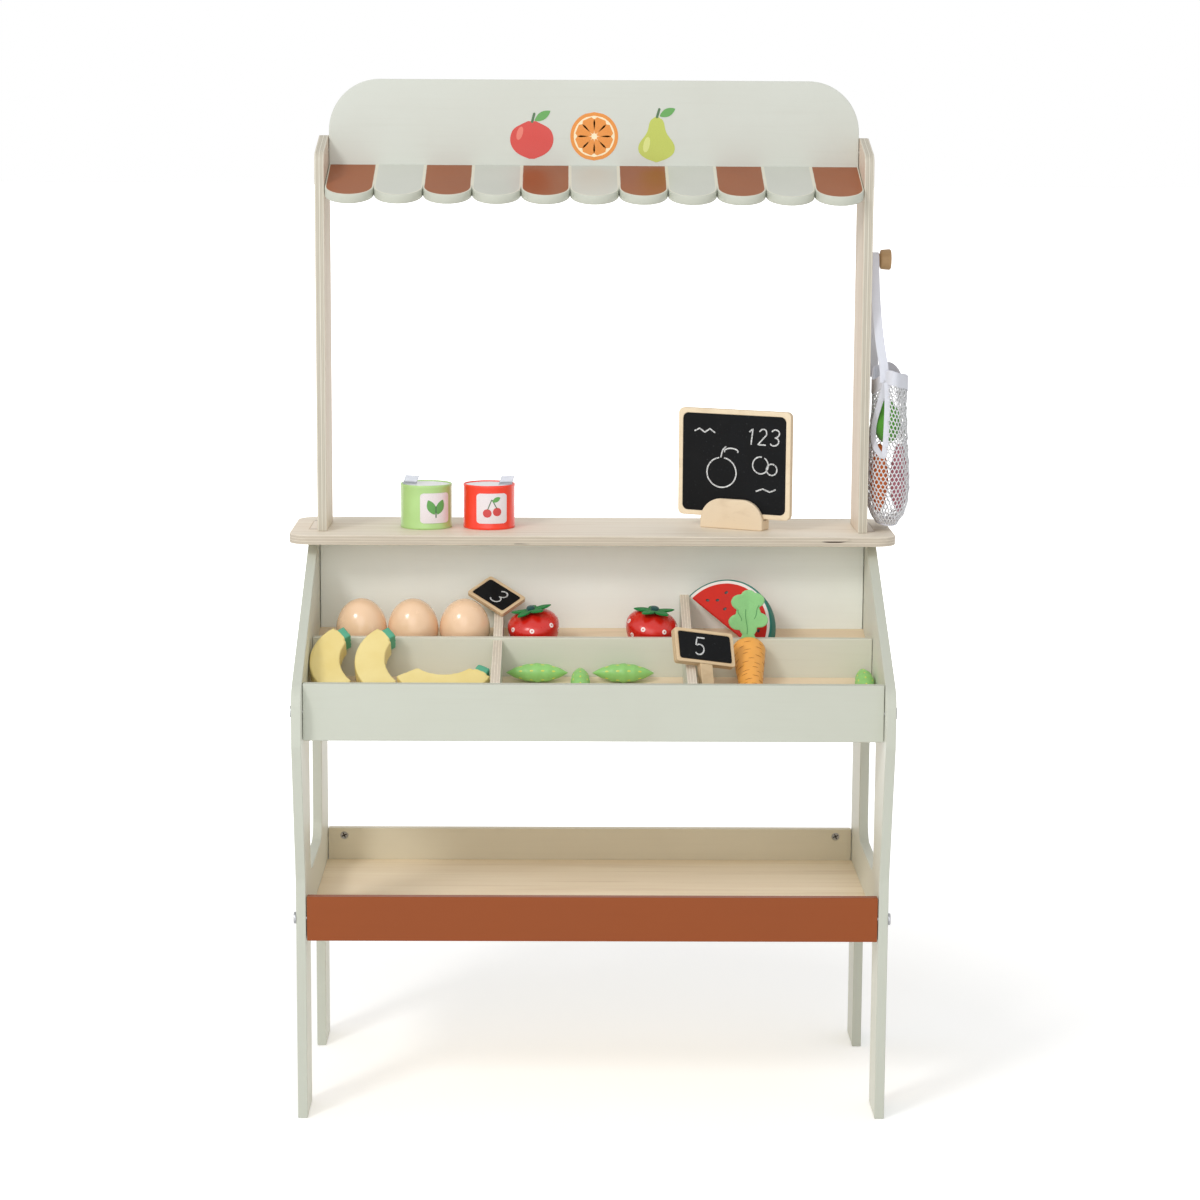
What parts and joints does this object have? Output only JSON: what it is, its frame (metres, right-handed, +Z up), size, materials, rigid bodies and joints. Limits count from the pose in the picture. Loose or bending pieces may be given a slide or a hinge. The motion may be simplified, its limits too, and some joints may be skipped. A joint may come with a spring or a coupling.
{
  "type": "toy market stall",
  "caption": "Plywood toy market stall with a sloping tiered display, a counter, posts that carry a header and a scalloped awning, a low shelf, a hanging net bag and loose toy goods.",
  "frame": {"origin": "on the floor under the middle of the object's box", "axes": "+Z up, front towards -Y, +X to the right of a viewer who faces the front"},
  "size_m": [0.656, 0.3426, 1.051],
  "materials": {
    "cream_paint": "matt paint on plywood",
    "striped_paint": "matt paint in stripes on plywood",
    "terracotta_paint": "matt paint on plywood",
    "plywood": "clear matt lacquer",
    "pale_plywood": "clear matt lacquer",
    "steel": "zinc plated",
    "peach_paint": "satin paint",
    "red_paint": "satin paint",
    "melon_paint": "satin paint",
    "orange_paint": "satin paint",
    "yellow_paint": "satin paint",
    "dark_green_felt": "felt",
    "light_green_felt": "felt",
    "black_paint": "matt chalkboard paint",
    "green_tin": "satin paint",
    "red_tin": "satin paint",
    "white_paint": "satin paint",
    "silver_felt": "coated felt",
    "white_net": "knitted net",
    "white_tape": "woven tape",
    "apple_felt": "stuffed felt",
    "orange_felt": "stuffed felt",
    "mauve_felt": "stuffed felt"
  },
  "bodies": {
    "stall": {"side_panel_left": "cream_paint", "side_panel_right": "cream_paint", "counter_top": "plywood", "post_left": "pale_plywood", "post_right": "pale_plywood", "header_board": "cream_paint", "awning_board": "striped_paint", "tray_front_board": "cream_paint", "tier_board": "cream_paint", "display_back_board": "cream_paint", "front_tray_floor": "plywood", "rear_tier_floor": "plywood", "front_divider_left": "cream_paint", "front_divider_right": "cream_paint", "rear_divider_left": "cream_paint", "rear_divider_right": "cream_paint", "lower_shelf": "plywood", "shelf_front_lip": "terracotta_paint", "shelf_back_board": "cream_paint", "bag_hook": "plywood", "connector_bolts": "steel", "barrel_nuts": "steel", "post_bolts": "steel", "post_nuts": "steel"},
    "egg_left": {"egg_left": "peach_paint"},
    "egg_middle": {"egg_middle": "peach_paint"},
    "egg_right": {"egg_right": "peach_paint"},
    "strawberry_left": {"strawberry_left": "red_paint", "strawberry_left_leaves": "dark_green_felt"},
    "strawberry_right": {"strawberry_right": "red_paint", "strawberry_right_leaves": "dark_green_felt"},
    "watermelon_slice": {"watermelon_slice": "melon_paint"},
    "carrot": {"carrot_body": "orange_paint", "carrot_leaves": "light_green_felt"},
    "banana_left": {"banana_left": "yellow_paint"},
    "banana_middle": {"banana_middle": "yellow_paint"},
    "banana_lying": {"banana_lying": "yellow_paint"},
    "pea_pod_left": {"pea_pod_left": "light_green_felt"},
    "pea_pod_middle": {"pea_pod_middle": "light_green_felt"},
    "pea_pod_right": {"pea_pod_right": "light_green_felt"},
    "pea_pod_end": {"pea_pod_end": "light_green_felt"},
    "price_sign_front": {"price_sign_front": "plywood"},
    "price_sign_rear": {"price_sign_rear": "plywood"},
    "tin_green": {"tin_green_body": "green_tin", "tin_green_lid": "white_paint", "tin_green_tab": "silver_felt"},
    "tin_red": {"tin_red_body": "red_tin", "tin_red_lid": "white_paint", "tin_red_tab": "silver_felt"},
    "chalkboard_stand": {"chalkboard_stand": "plywood"},
    "chalkboard": {"chalkboard_frame": "plywood", "chalkboard_slate": "black_paint"},
    "bag": {"net_bag": "white_net", "bag_strap": "white_tape", "bag_fruit_green": "apple_felt", "bag_fruit_orange": "orange_felt", "bag_fruit_mauve": "mauve_felt"}
  },
  "joints": [
    {"name": "egg_left_lift", "type": "slide", "parent": "stall", "child": "egg_left", "axis": [0, 0, 1], "range_m": [0, 0.05]},
    {"name": "egg_middle_lift", "type": "slide", "parent": "stall", "child": "egg_middle", "axis": [0, 0, 1], "range_m": [0, 0.05]},
    {"name": "egg_right_lift", "type": "slide", "parent": "stall", "child": "egg_right", "axis": [0, 0, 1], "range_m": [0, 0.05]},
    {"name": "strawberry_left_lift", "type": "slide", "parent": "stall", "child": "strawberry_left", "axis": [0, 0, 1], "range_m": [0, 0.05]},
    {"name": "strawberry_right_lift", "type": "slide", "parent": "stall", "child": "strawberry_right", "axis": [0, 0, 1], "range_m": [0, 0.05]},
    {"name": "watermelon_slice_lift", "type": "slide", "parent": "stall", "child": "watermelon_slice", "axis": [0, 0, 1], "range_m": [0, 0.03]},
    {"name": "carrot_lift", "type": "slide", "parent": "stall", "child": "carrot", "axis": [0, 0, 1], "range_m": [0, 0.1]},
    {"name": "banana_left_lift", "type": "slide", "parent": "stall", "child": "banana_left", "axis": [0, 0, 1], "range_m": [0, 0.1]},
    {"name": "banana_middle_lift", "type": "slide", "parent": "stall", "child": "banana_middle", "axis": [0, 0, 1], "range_m": [0, 0.1]},
    {"name": "banana_lying_lift", "type": "slide", "parent": "stall", "child": "banana_lying", "axis": [0, 0, 1], "range_m": [0, 0.1]},
    {"name": "pea_pod_left_lift", "type": "slide", "parent": "stall", "child": "pea_pod_left", "axis": [0, 0, 1], "range_m": [0, 0.1]},
    {"name": "pea_pod_middle_lift", "type": "slide", "parent": "stall", "child": "pea_pod_middle", "axis": [0, 0, 1], "range_m": [0, 0.1]},
    {"name": "pea_pod_right_lift", "type": "slide", "parent": "stall", "child": "pea_pod_right", "axis": [0, 0, 1], "range_m": [0, 0.1]},
    {"name": "pea_pod_end_lift", "type": "slide", "parent": "stall", "child": "pea_pod_end", "axis": [0, 0, 1], "range_m": [0, 0.1]},
    {"name": "price_sign_front_lift", "type": "slide", "parent": "stall", "child": "price_sign_front", "axis": [0, 0, 1], "range_m": [0, 0.1]},
    {"name": "price_sign_rear_lift", "type": "slide", "parent": "stall", "child": "price_sign_rear", "axis": [0, 0, 1], "range_m": [0, 0.04]},
    {"name": "tin_green_lift", "type": "slide", "parent": "stall", "child": "tin_green", "axis": [0, 0, 1], "range_m": [0, 0.1]},
    {"name": "tin_red_lift", "type": "slide", "parent": "stall", "child": "tin_red", "axis": [0, 0, 1], "range_m": [0, 0.1]},
    {"name": "chalkboard_stand_lift", "type": "slide", "parent": "stall", "child": "chalkboard_stand", "axis": [0, 0, 1], "range_m": [0, 0.08]},
    {"name": "chalkboard_lift", "type": "slide", "parent": "chalkboard_stand", "child": "chalkboard", "axis": [0, 0, 1], "range_m": [0, 0.06]},
    {"name": "bag_swing", "type": "hinge", "parent": "stall", "child": "bag", "pos_m": [0.28605, 0.09425, 0.866], "axis": [1, 0, 0], "range_deg": [-25, 25]}
  ]
}
